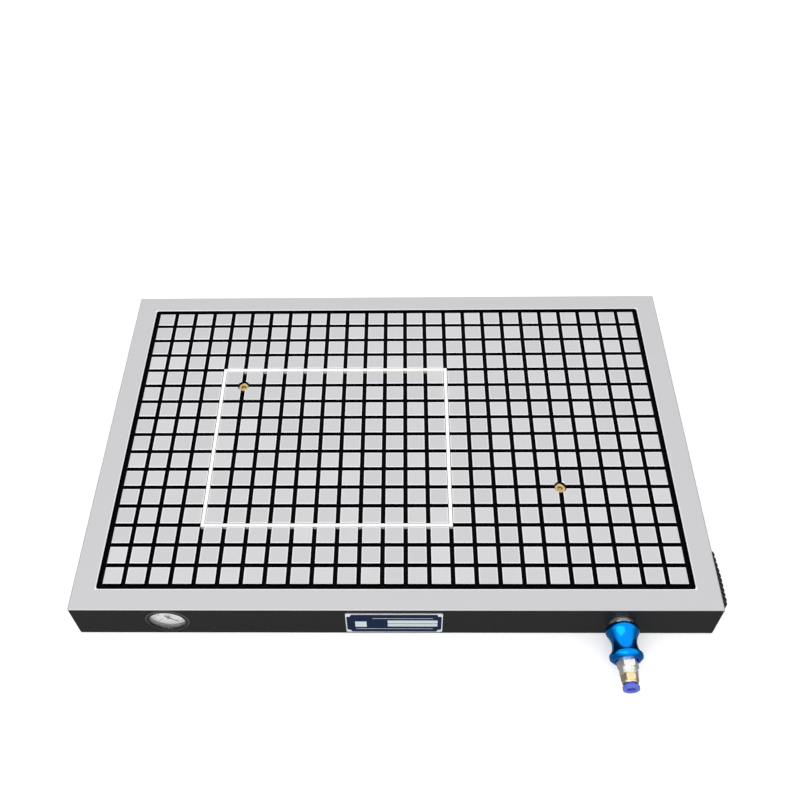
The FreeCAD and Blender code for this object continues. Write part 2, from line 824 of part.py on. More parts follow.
def exhaust_silencer():
    """A ribbed cap over the exhaust, with vents between its ribs."""
    inner = silencer_rib_height + silencer_wall
    near = ejector_y - silencer_front_length
    rib_count = int((silencer_front_length + silencer_back_length) / silencer_rib_spacing)
    ribs = []
    whole = silencer_form(0)
    vents = [silencer_form(inner)]
    vent_half = silencer_rib_spacing / 2 - silencer_rib_width / 2
    vent_low = service_height - silencer_vent_half_height
    vent_high = service_height + silencer_vent_half_height
    for count in range(rib_count):
        y = near + (count + 0.5) * silencer_rib_spacing
        ribs.append(whole.common(block((right_x, y - silencer_rib_width / 2, 0),
                                       (right_x + silencer_reach, y + silencer_rib_width / 2, block_height))))
        gap = y + silencer_rib_spacing / 2
        if 0 < count < rib_count - 2:
            vents.append(block((right_x + silencer_edge_reach, gap - vent_half, vent_low),
                               (right_x + silencer_reach + 1, gap + vent_half, vent_high)))
    return silencer_form(silencer_rib_height).fuse(ribs).removeSplitter().cut(vents)


def silencer_felt():
    """The felt insert that muffles the exhaust."""
    felt = silencer_form(silencer_rib_height + silencer_wall + felt_gap)
    return felt.common(block((right_x + felt_gap, front_y, 0), (right_x + silencer_reach, 0, block_height)))


# Slide valve: the holes of the barrel and the recess of the sleeve follow from the travel


collar_front = washer_thickness + collar_length
sleeve_start = collar_front + slide_end_gap
recess_start = sleeve_start + valve_land
rear_hole = recess_start + slide_travel + valve_hole_radius + valve_spare
recess_end = rear_hole + valve_hole_radius + valve_spare
front_hole = recess_end + valve_land + valve_hole_radius
sleeve_end = sleeve_start + sleeve_length
barrel_end = sleeve_end + slide_end_gap
mouth_floor = barrel_end - slide_travel - slide_end_gap
front_face = barrel_end + front_end_length


def on_valve(outline):
    """A turned piece about the valve's axis. Its stations are distances from the front face."""
    return turned(outline, V(valve_x, front_y, service_height), FRONT)


def on_valve_axis(shape, station):
    """A shape drawn about Z, stood on the valve's axis at a station."""
    return placed(shape, V(valve_x, front_y - station, service_height), FRONT)


def valve_barrel():
    """The plated barrel: threaded stem, hexagon collar, and the ground cylinder the sleeve slides on."""
    thread = valve_thread_radius - thread_gap
    spigot = front_end_spigot_radius + thread_gap
    spigot_floor = barrel_end - front_end_spigot_length - thread_gap
    front_wall = front_hole - valve_hole_radius - bore_past_hole
    rear_wall = rear_hole + valve_hole_radius + bore_past_hole
    barrel = on_valve([(-valve_stem_length, barrel_bore_radius), (-valve_stem_length, thread),
                       (washer_thickness, thread), (washer_thickness, barrel_radius), (barrel_end, barrel_radius),
                       (barrel_end, spigot), (spigot_floor, spigot), (spigot_floor, barrel_bore_radius),
                       (front_wall, barrel_bore_radius), (front_wall, 0), (rear_wall, 0),
                       (rear_wall, barrel_bore_radius)])
    collar = on_valve_axis(hexagon(collar_flats, collar_length), washer_thickness)
    core = on_valve([(0, 0), (0, thread), (collar_front + 1, thread), (collar_front + 1, 0)])
    holes = []
    for station in (rear_hole, front_hole):
        start = V(valve_x, front_y - station, service_height - barrel_radius - 1)
        holes.append(rod(valve_hole_radius, start, UP, 2 * barrel_radius + 2))
    return barrel.fuse(collar.cut(core)).removeSplitter().cut(holes)


def valve_washer():
    """The sealing washer between the valve and the block."""
    return ring(washer_radius, valve_thread_radius + thread_gap, V(valve_x, front_y, service_height), FRONT,
                washer_thickness)


def valve_front_end():
    """The end screwed into the barrel: hexagon, round collar, and a female thread for the fitting."""
    spigot_start = barrel_end - front_end_spigot_length
    hexagon_end = barrel_end + front_end_hexagon_length
    body = on_valve([(spigot_start, 0), (spigot_start, front_end_spigot_radius),
                     (hexagon_end, front_end_spigot_radius), (hexagon_end, front_end_collar_radius),
                     (front_face, front_end_collar_radius), (front_face, 0)])
    across = on_valve_axis(hexagon(front_end_flats, front_end_hexagon_length), barrel_end)
    thread_floor = front_face - fitting_thread_length - thread_gap
    hollow = on_valve([(spigot_start - 1, 0), (spigot_start - 1, barrel_bore_radius),
                       (thread_floor, barrel_bore_radius), (thread_floor, valve_thread_radius),
                       (front_face + 1, valve_thread_radius), (front_face + 1, 0)])
    return body.fuse(across).removeSplitter().cut(hollow)


def slide_sleeve():
    """The hand sleeve: a rear bead, a slim waist and a front flange, with an air recess inside."""
    bore = barrel_radius + barrel_slide_gap
    bead_end = sleeve_start + sleeve_bead_length
    flange_start = sleeve_end - sleeve_flange_length
    waist_start = (bead_end + flange_start - sleeve_waist_length) / 2
    outline = [(sleeve_start, bore), (sleeve_start, sleeve_rear_radius), (bead_end, sleeve_rear_radius),
               (waist_start, sleeve_waist_radius),
               (waist_start + sleeve_waist_length, sleeve_waist_radius),
               (flange_start, sleeve_front_radius - sleeve_taper_end), (flange_start, sleeve_front_radius),
               (sleeve_end, sleeve_front_radius),
               (sleeve_end, sleeve_mouth_radius), (mouth_floor, sleeve_mouth_radius), (mouth_floor, bore),
               (recess_end, bore), (recess_end, bore + recess_depth), (recess_start, bore + recess_depth),
               (recess_start, bore)]
    return on_valve(outline)


# Push-in fitting


fitting_start = front_face - fitting_thread_length
hex_end = front_face + fitting_hex_length
fitting_mouth = hex_end + fitting_nose_length
cavity_floor = fitting_mouth - fitting_cavity_depth
collet_bore = tube_radius + tube_gap
collet_outer = collet_bore + collet_wall
collet_flange_back = fitting_mouth + collet_travel + slide_end_gap
collet_end = collet_flange_back + collet_flange_length


def fitting_body():
    """The brass body: male thread, hexagon, and the cavity for the tube's grip."""
    thread = valve_thread_radius - thread_gap
    seat = cavity_floor - fitting_seat_depth
    tube_seat = tube_radius + 2 * tube_gap
    shell = on_valve([(fitting_start, 0), (fitting_start, thread), (front_face, thread),
                      (front_face, fitting_nose_radius), (fitting_mouth, fitting_nose_radius), (fitting_mouth, 0)])
    body = shell.fuse(on_valve_axis(hexagon(fitting_hex_flats, fitting_hex_length), front_face))
    hollow = on_valve([(fitting_start - 1, 0), (fitting_start - 1, fitting_through_radius),
                       (seat, fitting_through_radius), (seat, tube_seat), (cavity_floor, tube_seat),
                       (cavity_floor, fitting_cavity_radius), (fitting_mouth + 1, fitting_cavity_radius),
                       (fitting_mouth + 1, 0)])
    return body.removeSplitter().cut(hollow)


def fitting_insert():
    """The bush pressed into the cavity, which guides the collet."""
    return ring(fitting_cavity_radius - thread_gap, collet_outer + thread_gap,
                V(valve_x, front_y - cavity_floor, service_height), FRONT, fitting_cavity_depth)


def release_collet():
    """The collet that is pushed in to free the tube."""
    start = fitting_mouth - collet_inner_length
    return on_valve([(start, collet_bore), (start, collet_outer), (collet_flange_back, collet_outer),
                     (collet_flange_back, collet_flange_radius), (collet_end, collet_flange_radius),
                     (collet_end, collet_bore)])


def build():
    """Every piece, in its own file."""
    os.makedirs("parts", exist_ok=True)
    makers = [chuck_body, seal_cord, bottom_cover, cover_gasket, nameplate,
              gauge_case, gauge_bezel, gauge_lens, gauge_dial, gauge_socket, gauge_tube, gauge_frame,
              gauge_pinion, gauge_sector, gauge_link, gauge_pointer,
              ejector_nozzle, ejector_diffuser, exhaust_silencer, silencer_felt,
              valve_barrel, valve_washer, valve_front_end, slide_sleeve,
              fitting_body, fitting_insert, release_collet]
    for make in makers:
        write(make.__name__, make())
    for side, (x, y) in port_places().items():
        write("port_plug_" + side, port_plug(x, y))
        write("port_seal_" + side, port_seal(x, y))


build()
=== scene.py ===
import math

import bmesh
import bpy
from mathutils import Matrix, Vector


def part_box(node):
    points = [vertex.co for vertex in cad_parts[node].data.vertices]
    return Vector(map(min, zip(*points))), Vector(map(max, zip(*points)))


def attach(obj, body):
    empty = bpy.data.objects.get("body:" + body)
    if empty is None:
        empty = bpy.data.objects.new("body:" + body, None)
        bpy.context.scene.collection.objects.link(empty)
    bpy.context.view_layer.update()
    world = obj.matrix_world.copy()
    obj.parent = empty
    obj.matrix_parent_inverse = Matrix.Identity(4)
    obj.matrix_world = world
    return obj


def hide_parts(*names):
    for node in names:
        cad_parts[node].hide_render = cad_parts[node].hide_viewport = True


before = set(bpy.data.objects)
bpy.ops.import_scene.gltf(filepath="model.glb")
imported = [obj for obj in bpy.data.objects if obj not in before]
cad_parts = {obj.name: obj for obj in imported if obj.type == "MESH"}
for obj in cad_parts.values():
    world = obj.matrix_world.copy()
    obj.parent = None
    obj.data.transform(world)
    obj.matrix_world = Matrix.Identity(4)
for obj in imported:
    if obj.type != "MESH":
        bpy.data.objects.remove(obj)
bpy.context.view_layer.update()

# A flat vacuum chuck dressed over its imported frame: milled top, black grooves and sides,
# a white seal cord, a panel gauge, a bare rating plate, a blue hand valve and its air fitting.
# Sizes are in millimetres and become metres where a mesh is made.
# A station is a distance along a small part's axis, from the block's front face.

MM = 0.001
UP = Vector((0, 0, 1))
FRONT = Vector((0, -1, 0))


def box_mm(node):
    """A frame node's lowest and highest corners, in millimetres."""
    low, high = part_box(node)
    return Vector(low) / MM, Vector(high) / MM


def middle_mm(node):
    """The middle of a frame node's box, in millimetres."""
    low, high = box_mm(node)
    return (low + high) / 2


# Sizes that the frame gives
block_low, block_high = box_mm("chuck_body")
block_top = block_high.z
front_y = block_low.y
plug_middles = [middle_mm("port_plug_left"), middle_mm("port_plug_right")]
gauge_middle = middle_mm("gauge_bezel")
valve_middle = middle_mm("slide_sleeve")
plate_low, plate_high = box_mm("nameplate")
plate_middle = (plate_low + plate_high) / 2
cover_low, cover_high = box_mm("bottom_cover")
cord_low, cord_high = box_mm("seal_cord")

# Sizes of the milled grid
land_spacing = 22.0
land_columns = 25
land_rows = 16
grid_groove_width = 4.2
border_groove_width = 5.4
groove_depth = 5.0
# Width of the band of painted highlight along each land's edges
land_highlight_width = 1.3

# Broken edges
land_edge = 0.25
mouth_edge = 0.7
mouth_radius = 6.0
pocket_edge = 0.5
pocket_radius = 21.0


# Camera


def make_camera():
    """The photograph's viewpoint, found from the grid's lines."""
    focal_pixels = 952.9
    frame_pixels = 793.0
    middle_pixel = 385.9
    data = bpy.data.cameras.new("camera")
    data.sensor_width = 36.0
    data.lens = focal_pixels / frame_pixels * data.sensor_width
    data.shift_x = (frame_pixels / 2 - middle_pixel) / frame_pixels
    forward = Vector((-0.0207, 0.6270, -0.7788)).normalized()
    right = Vector((0.9998, 0.0102, -0.0184))
    right = (right - forward * right.dot(forward)).normalized()
    up = right.cross(forward)
    camera = bpy.data.objects.new("camera", data)
    camera.matrix_world = Matrix.Translation(Vector((11.44, -592.48, 845.74)) * MM) @ Matrix(
        (right, up, -forward)).transposed().to_4x4()
    bpy.context.scene.collection.objects.link(camera)
    bpy.context.scene.camera = camera


# Material tools


def linear(colour):
    """An sRGB hex colour as the linear values that the shaders take."""
    parts = [int(colour[i:i + 2], 16) / 255 for i in (0, 2, 4)]
    parts = [p / 12.92 if p <= 0.04045 else ((p + 0.055) / 1.055) ** 2.4 for p in parts]
    return (*parts, 1.0)


def add(tree, kind, inputs=None, **settings):
    """A new node. Its inputs take plain values, or the output socket that feeds them."""
    node = tree.nodes.new(kind)
    for name, value in settings.items():
        setattr(node, name, value)
    for name, value in (inputs or {}).items():
        if isinstance(value, bpy.types.NodeSocket):
            tree.links.new(value, node.inputs[name])
        else:
            node.inputs[name].default_value = value
    return node


def surface(name, colour, **shader_inputs):
    """A material with one main shader. The colour is sRGB hex."""
    material = bpy.data.materials.new(name)
    material.use_nodes = True
    tree = material.node_tree
    shader = tree.nodes["Principled BSDF"]
    shader.inputs["Base Color"].default_value = linear(colour)
    for key, value in shader_inputs.items():
        shader.inputs[key.replace("_", " ")].default_value = value
    place = add(tree, "ShaderNodeTexCoord")
    return material, tree, shader, place.outputs["Object"]


def grain(tree, place, size_mm, stretch=(1, 1, 1), detail=2.0):
    """Noise with grains of a real size, longer along an axis with a small stretch value."""
    scale = 1 / (size_mm * MM)
    mapping = add(tree, "ShaderNodeMapping", {"Vector": place, "Scale": [scale * s for s in stretch]})
    noise = add(tree, "ShaderNodeTexNoise", {"Vector": mapping.outputs[0], "Scale": 1.0, "Detail": detail})
    return noise.outputs["Fac"]


def spread(tree, value, low, high):
    """A 0 to 1 value as a narrower range."""
    return add(tree, "ShaderNodeMapRange", {"Value": value, "To Min": low, "To Max": high}).outputs[0]


def tint(tree, shader, value, first, second):
    """Base colour that runs between two colours: each is sRGB hex, or the socket of an earlier mix."""
    mix = add(tree, "ShaderNodeMix", {0: value}, data_type="RGBA")
    for index, colour in ((6, first), (7, second)):
        if isinstance(colour, str):
            mix.inputs[index].default_value = linear(colour)
        else:
            tree.links.new(colour, mix.inputs[index])
    tree.links.new(mix.outputs[2], shader.inputs["Base Color"])
    return mix.outputs[2]


def relief(tree, shader, height, depth_mm, strength=1.0):
    """Fine surface relief of a real depth."""
    bump = add(tree, "ShaderNodeBump", {"Height": height, "Distance": depth_mm * MM, "Strength": strength})
    tree.links.new(bump.outputs[0], shader.inputs["Normal"])


# Materials of the block and what lies in it


def milled_aluminium():
    """Face-milled aluminium: satin grey lands that differ a little in tint, each with a pale band along its
    edges that is a painted highlight, standing in for the light that its broken edge catches."""
    material, tree, shader, place = surface("milled_aluminium", "D2D1D5", Metallic=1.0, Roughness=0.4)
    per_land = (1 / (land_spacing * MM),) * 3
    in_lands = add(tree, "ShaderNodeVectorMath", {0: place, 1: per_land}, operation="MULTIPLY")
    shifted = add(tree, "ShaderNodeVectorMath", {0: in_lands.outputs[0], 1: (0.5, 0, 0)}, operation="ADD")
    whole = add(tree, "ShaderNodeVectorMath", {0: shifted.outputs[0]}, operation="FLOOR")
    flat = add(tree, "ShaderNodeVectorMath", {0: whole.outputs[0], 1: (1, 1, 0)}, operation="MULTIPLY")
    land = add(tree, "ShaderNodeTexWhiteNoise", {"Vector": flat.outputs[0]}, noise_dimensions="3D")
    parts = add(tree, "ShaderNodeSeparateXYZ", {0: in_lands.outputs[0]})
    # Inside the grid the fold is 0 in the middle of a land and 0.5 on a groove's middle line
    fold_x = add(tree, "ShaderNodeMath", {0: parts.outputs["X"], 1: 0.5}, operation="PINGPONG")
    half_step = add(tree, "ShaderNodeMath", {0: parts.outputs["Y"], 1: 0.5}, operation="ADD")
    fold_y = add(tree, "ShaderNodeMath", {0: half_step.outputs[0], 1: 0.5}, operation="PINGPONG")
    nearest = add(tree, "ShaderNodeMath", {0: fold_x.outputs[0], 1: fold_y.outputs[0]}, operation="MAXIMUM")
    land_half = (land_spacing - grid_groove_width) / 2
    inner = add(tree, "ShaderNodeMapRange", {
        "Value": nearest.outputs[0], "From Min": (land_half - land_highlight_width) / land_spacing,
        "From Max": (land_half - land_highlight_width / 2) / land_spacing})
    # Outside it the distance from the border groove's middle line counts
    past = []
    for axis, count in (("X", land_columns), ("Y", land_rows)):
        size = add(tree, "ShaderNodeMath", {0: parts.outputs[axis]}, operation="ABSOLUTE")
        over = add(tree, "ShaderNodeMath", {0: size.outputs[0], 1: count / 2}, operation="SUBTRACT")
        past.append(over.outputs[0])
    beyond = add(tree, "ShaderNodeMath", {0: past[0], 1: past[1]}, operation="MAXIMUM")
    border_half = border_groove_width / 2
    outer = add(tree, "ShaderNodeMapRange", {
        "Value": beyond.outputs[0], "From Min": (border_half + land_highlight_width) / land_spacing,
        "From Max": (border_half + land_highlight_width / 2) / land_spacing})
    in_grid = add(tree, "ShaderNodeMath", {0: beyond.outputs[0], 1: 0.0}, operation="LESS_THAN")
    painted_land_highlight = add(tree, "ShaderNodeMix", {0: in_grid.outputs[0], 2: outer.outputs[0], 3: inner.outputs[0]})
    cloud = grain(tree, place, 60)
    land_tint = add(tree, "ShaderNodeMath", {0: land.outputs["Value"], 1: in_grid.outputs[0]},
                    operation="MULTIPLY")
    mixed = add(tree, "ShaderNodeMath", {0: land_tint.outputs[0], 1: cloud}, operation="MULTIPLY")
    field = tint(tree, shader, mixed.outputs[0], "CBCACD", "DADADC")
    # A pale band of painted highlight along every land's edges
    tint(tree, shader, painted_land_highlight.outputs[0], field, "F0EFF2")
    # The cutter's passes run along X and leave marks under a millimetre apart
    marks = grain(tree, place, 0.7, (0.04, 1, 1))
    tree.links.new(spread(tree, marks, 0.34, 0.46), shader.inputs["Roughness"])
    relief(tree, shader, marks, 0.004)
    return material


def cut_edge():
    """Bare aluminium where an edge was broken after anodising: brighter and smoother than the face."""
    material, tree, shader, place = surface("cut_edge_aluminium", "D6D6D9", Metallic=1.0, Roughness=0.4)
    tree.links.new(spread(tree, grain(tree, place, 1.5), 0.34, 0.48), shader.inputs["Roughness"])
    return material


def black_anodised():
    """Black anodised aluminium over a ground face: a matte near-black with a fine grain."""
    material, tree, shader, place = surface("black_anodised_aluminium", "1B1B1C", Roughness=0.5)
    tint(tree, shader, grain(tree, place, 45), "1A1A1B", "202021")
    fine = grain(tree, place, 0.5, (0.08, 1, 1))
    tree.links.new(spread(tree, fine, 0.44, 0.58), shader.inputs["Roughness"])
    shader.inputs["Specular IOR Level"].default_value = 0.3
    relief(tree, shader, fine, 0.006)
    return material


def groove_black():
    """Black anodised groove walls and floors, cut with an end mill, with round cutter marks: darker than the
    sides' anodising, as painted shade in the narrow grooves.
    """
    # The near-black colour is the real black anodising with painted shade from the narrow grooves on top
    material, tree, shader, place = surface("milled_groove_anodised", "020203", Roughness=0.6)
    marks = grain(tree, place, 0.8)
    tree.links.new(spread(tree, marks, 0.52, 0.66), shader.inputs["Roughness"])
    shader.inputs["Specular IOR Level"].default_value = 0.06
    relief(tree, shader, marks, 0.008)
    return material


def sponge_rubber():
    """White closed-cell silicone sponge cord: soft, matte, with small open pores."""
    material, tree, shader, place = surface("white_sponge_silicone", "F4F2EA", Roughness=0.75)
    tint(tree, shader, grain(tree, place, 6), "FAFAF8", "F4F3F0")
    mapping = add(tree, "ShaderNodeMapping", {"Vector": place, "Scale": [1 / (0.5 * MM)] * 3})
    pores = add(tree, "ShaderNodeTexVoronoi", {"Vector": mapping.outputs[0], "Scale": 1.0})
    relief(tree, shader, pores.outputs["Distance"], 0.05, 0.5)
    shader.inputs["Sheen Weight"].default_value = 0.15
    return material


def seal_rubber():
    """Black nitrile sheet or ring: dull, with a faint bloom."""
    material, tree, shader, place = surface("black_nitrile_rubber", "161616", Roughness=0.7)
    tint(tree, shader, grain(tree, place, 3), "131313", "1D1D1D")
    relief(tree, shader, grain(tree, place, 0.4), 0.01)
    return material


# Materials of the valve and its fitting


def machined_brass():
    """Turned brass that has been handled: ochre, with the fine rings of the tool and a little dullness."""
    material, tree, shader, place = surface("machined_brass", "D2BA88", Metallic=1.0, Roughness=0.34)
    tint(tree, shader, grain(tree, place, 4), "DAC496", "C2A56C")
    marks = grain(tree, place, 0.25)
    tree.links.new(spread(tree, marks, 0.28, 0.42), shader.inputs["Roughness"])
    relief(tree, shader, marks, 0.003)
    return material


def pale_brass():
    """Bright-dipped brass of the air fitting: pale gold and fresh."""
    material, tree, shader, place = surface("bright_dipped_brass", "F6E6BC", Metallic=1.0, Roughness=0.3)
    tint(tree, shader, grain(tree, place, 3), "F9EAC4", "EBD6A6")
    rings = grain(tree, place, 0.3, (0.2, 1, 0.2))
    tree.links.new(spread(tree, rings, 0.24, 0.36), shader.inputs["Roughness"])
    relief(tree, shader, rings, 0.002)
    return material


def nickel_plate():
    """Bright nickel plating: nearly white, smooth, with faint turning lines under it."""
    material, tree, shader, place = surface("nickel_plated_brass", "F3F1ED", Metallic=0.9, Roughness=0.3)
    lines = grain(tree, place, 0.3, (0.1, 1, 0.1))
    tree.links.new(spread(tree, lines, 0.24, 0.36), shader.inputs["Roughness"])
    relief(tree, shader, lines, 0.0015)
    return material


def satin_zinc():
    """Zinc plating over pressed or turned steel: a soft grey, slightly clouded."""
    material, tree, shader, place = surface("satin_zinc_plate", "BFC1C4", Metallic=1.0, Roughness=0.38)
    tint(tree, shader, grain(tree, place, 2), "C4C6C9", "B2B5B8")
    tree.links.new(spread(tree, grain(tree, place, 0.5), 0.32, 0.46), shader.inputs["Roughness"])
    return material


def blue_anodised():
    """Blue dyed anodised aluminium over a polished turned part: a deep satin mirror."""
    material, tree, shader, place = surface("blue_anodised_aluminium", "0A90F4", Metallic=1.0, Roughness=0.2)
    lines = grain(tree, place, 0.4, (0.06, 1, 0.06))
    tree.links.new(spread(tree, lines, 0.15, 0.26), shader.inputs["Roughness"])
    relief(tree, shader, lines, 0.0015)
    return material


def violet_acetal():
    """Moulded violet-blue acetal: glossy, slightly translucent."""
    material, tree, shader, place = surface("violet_blue_acetal", "5F68DC", Roughness=0.3)
    tint(tree, shader, grain(tree, place, 5), "636FD4", "5660C6")
    shader.inputs["Subsurface Weight"].default_value = 0.2
    shader.inputs["Subsurface Scale"].default_value = 1.5 * MM
    relief(tree, shader, grain(tree, place, 0.6), 0.004)
    return material


# Materials of the gauge, the plate and the small parts


def moulded_black():
    """Black nylon from a spark-eroded mould: matte, with a fine even grain."""
    material, tree, shader, place = surface("moulded_black_nylon", "161617", Roughness=0.5)
    marks = grain(tree, place, 0.35)
    tree.links.new(spread(tree, marks, 0.42, 0.6), shader.inputs["Roughness"])
    relief(tree, shader, marks, 0.02, 0.6)
    return material


def bezel_black():
    """Black stoved paint on the gauge's turned bezel, with a pale painted highlight along its outer edge."""
    material, tree, shader, place = surface("black_stoved_paint", "121213", Roughness=0.3)
    centre = Vector((gauge_middle.x, 0, gauge_middle.z)) * MM
    offset = add(tree, "ShaderNodeVectorMath", {0: place, 1: centre}, operation="SUBTRACT")
    across = add(tree, "ShaderNodeVectorMath", {0: offset.outputs[0], 1: (1, 0, 1)}, operation="MULTIPLY")
    radius = add(tree, "ShaderNodeVectorMath", {0: across.outputs[0]}, operation="LENGTH")
    # A pale grey ring along the outer edge is a painted highlight
    painted_rim_highlight = add(tree, "ShaderNodeMapRange", {"Value": radius.outputs["Value"], "From Min": 19.2 * MM,
                                              "From Max": 20.4 * MM})
    paint = tint(tree, shader, grain(tree, place, 6), "111112", "171718")
    tint(tree, shader, painted_rim_highlight.outputs[0], paint, "585859")
    relief(tree, shader, grain(tree, place, 0.8), 0.004)
    return material


def grey_enamel():
    """Mid-grey enamel inside the gauge's drawn case."""
    material, tree, shader, place = surface("grey_case_enamel", "7C7C7E", Roughness=0.45)
    tint(tree, shader, grain(tree, place, 5), "828284", "767678")
    relief(tree, shader, grain(tree, place, 0.9), 0.005)
    return material


def turned_aluminium():
    """Bare turned aluminium inside the block."""
    material, tree, shader, place = surface("turned_aluminium", "C4C5C8", Metallic=1.0, Roughness=0.32)
    rings = grain(tree, place, 0.4, (1, 0.1, 0.1))
    tree.links.new(spread(tree, rings, 0.24, 0.4), shader.inputs["Roughness"])
    relief(tree, shader, rings, 0.003)
    return material


def enamel_white():
    """White enamel of the dial: even, bright behind its glass through a faint painted glow, with very slight
    orange peel.
    """
    material, tree, shader, place = surface("white_dial_enamel", "F8F8F6", Roughness=0.35)
    relief(tree, shader, grain(tree, place, 1.0), 0.004)
    tint(tree, shader, grain(tree, place, 8), "FAFAF9", "F2F2F0")
    # A faint painted glow, making up for the light that the recess and the glass take from the dial
    shader.inputs["Emission Color"].default_value = (1, 1, 1, 1)
    shader.inputs["Emission Strength"].default_value = 0.2
    return material


def printing_ink():
    """Black screen-printed ink."""
    material, tree, shader, place = surface("black_screen_ink", "121214", Roughness=0.55)
    tint(tree, shader, grain(tree, place, 0.8), "101012", "1A1A1C")
    return material


def pointer_paint():
    """Black paint on the thin pointer."""
    material, tree, shader, place = surface("black_pointer_paint", "141416", Roughness=0.4)
    tint(tree, shader, grain(tree, place, 1.0), "121214", "1C1C1E")
    return material


def gauge_glass():
    """Clear flat glass."""
    material, tree, shader, place = surface("clear_flat_glass", "FFFFFF", Roughness=0.02)
    shader.inputs["Transmission Weight"].default_value = 1.0
    shader.inputs["IOR"].default_value = 1.45
    tree.links.new(spread(tree, grain(tree, place, 9), 0.01, 0.04), shader.inputs["Roughness"])
    return material


def pressed_felt():
    """Pressed wool felt: fibres without a direction."""
    material, tree, shader, place = surface("pressed_felt", "C9C6BC", Roughness=0.95)
    fibres = grain(tree, place, 0.6, detail=6.0)
    tint(tree, shader, fibres, "D6D3C9", "B4B0A4")
    shader.inputs["Sheen Weight"].default_value = 0.4
    relief(tree, shader, fibres, 0.1)
    return material


def plate_blue():
    """Navy dyed anodising printed on the rating plate."""
    material, tree, shader, place = surface("navy_anodised_print", "0A213F", Roughness=0.45)
    tint(tree, shader, grain(tree, place, 5), "0B2345", "091F3B")
    tree.links.new(spread(tree, grain(tree, place, 0.5, (0.1, 1, 1)), 0.38, 0.5), shader.inputs["Roughness"])
    shader.inputs["Specular IOR Level"].default_value = 0.1
    return material


def plate_silver():
    """Brushed natural anodised aluminium of the rating plate."""
    material, tree, shader, place = surface("brushed_anodised_aluminium", "F0F2F5", Metallic=0.35,
                                            Roughness=0.35)
    brushed = grain(tree, place, 0.3, (0.03, 1, 1))
    tree.links.new(spread(tree, brushed, 0.28, 0.44), shader.inputs["Roughness"])
    relief(tree, shader, brushed, 0.003)
    return material


def plate_field():
    """Pale writing fields of the rating plate, left bare."""
    material, tree, shader, place = surface("pale_print_field", "C4CDD2", Roughness=0.5)
    tint(tree, shader, grain(tree, place, 3), "CAD3D8", "BBC5CB")
    return material


# Shape tools


def new_object(name, mesh):
    """An object for a mesh, in the scene."""
    piece = bpy.data.objects.new(name, mesh)
    bpy.context.scene.collection.objects.link(piece)
    return piece


def worked_out(piece):
    """The piece with its modifiers made into plain mesh."""
    made = bpy.data.meshes.new_from_object(piece.evaluated_get(bpy.context.evaluated_depsgraph_get()))
    piece.modifiers.clear()
    piece.data = made
    return piece


def finish_piece(piece, material, body, node=None, angle=30.0):
    """Smooth shading up to an angle, a material, the body it rides on, and the node it stands for."""
    piece.data.shade_smooth()
    piece.data.set_sharp_from_angle(angle=math.radians(angle))
    if material is not None:
        piece.data.materials.clear()
        piece.data.materials.append(material)
    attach(piece, body)
    if node is not None:
        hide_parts(node)
    return piece


def laid_along(origin, direction):
    """The turn and shift that lay a shape's own Z axis along a direction."""
    turn = UP.rotation_difference(direction).to_matrix().to_4x4()
    return Matrix.Translation(Vector(origin) * MM) @ turn


def closed_mesh(name, shape):
    """A mesh from a closed bmesh, with its faces pointing outwards."""
    bmesh.ops.recalc_face_normals(shape, faces=shape.faces)
    mesh = bpy.data.meshes.new(name)
    shape.to_mesh(mesh)
    shape.free()
    return mesh


def cut_down(radius, flats, angle):
    """A turned radius, cut down to a hexagon where a width across its flats is given."""
    if flats is None:
        return radius
    sixth = math.pi / 3
    return min(radius, flats / 2 / math.cos(angle % sixth - sixth / 2))


def turned_mesh(name, outline, steps=96):
    """A turned shape about Z from a closed outline of (station, radius) points, in millimetres.
    A point's third value is the width across flats of a hexagon that cuts the ring there."""
    shape = bmesh.new()
    rings = []
    for station, radius, *flats in outline:
        if radius < 0.001:
            rings.append([shape.verts.new((0, 0, station * MM))])
            continue
        ring = []
        for step in range(steps):
            angle = 2 * math.pi * step / steps
            reach = cut_down(radius, flats[0] if flats else None, angle) * MM
            ring.append(shape.verts.new((reach * math.cos(angle), reach * math.sin(angle), station * MM)))
        rings.append(ring)
    pairs = list(zip(rings, rings[1:]))
    if len(rings[0]) > 1 and len(rings[-1]) > 1:
        pairs.append((rings[-1], rings[0]))
    for first, second in pairs:
        for step in range(steps):
            following = (step + 1) % steps
            corners = [first[step % len(first)], first[following % len(first)],
                       second[following % len(second)], second[step % len(second)]]
            corners = list(dict.fromkeys(corners))
            if len(corners) > 2:
                shape.faces.new(corners)
    return closed_mesh(name, shape)


def flowing(points, steps=4):
    """More points on a smooth line through the given ones."""
    padded = [points[0]] + list(points) + [points[-1]]
    result = []
    for i in range(1, len(padded) - 2):
        before, start, end, after = padded[i - 1:i + 3]
        for step in range(steps):
            t = step / steps
            result.append(tuple(0.5 * (2 * start[k] + (end[k] - before[k]) * t
                                       + (2 * before[k] - 5 * start[k] + 4 * end[k] - after[k]) * t * t
                                       + (3 * start[k] - before[k] - 3 * end[k] + after[k]) * t ** 3)
                                for k in (0, 1)))
    result.append(points[-1])
    return result


def merged_copy(node):
    """A copy of a frame node's mesh with its split corners joined, ready to be worked on."""
    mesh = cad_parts[node].data.copy()
    mesh.materials.clear()
    for attribute in ("custom_normal", "sharp_edge", "sharp_face"):
        if attribute in mesh.attributes:
            mesh.attributes.remove(mesh.attributes[attribute])
    shape = bmesh.new()
    shape.from_mesh(mesh)
    bmesh.ops.remove_doubles(shape, verts=shape.verts, dist=0.002 * MM)
    return mesh, shape


def ease_edges(piece, width_mm, method="ANGLE", segments=2, angle=30.0):
    """A bevel on a piece's sharp edges, as real machined or moulded edges have."""
    bevel = piece.modifiers.new("eased", "BEVEL")
    bevel.width = width_mm * MM
    bevel.segments = segments
    bevel.limit_method = method
    bevel.use_clamp_overlap = method == "ANGLE"
    bevel.angle_limit = math.radians(angle)
    return piece


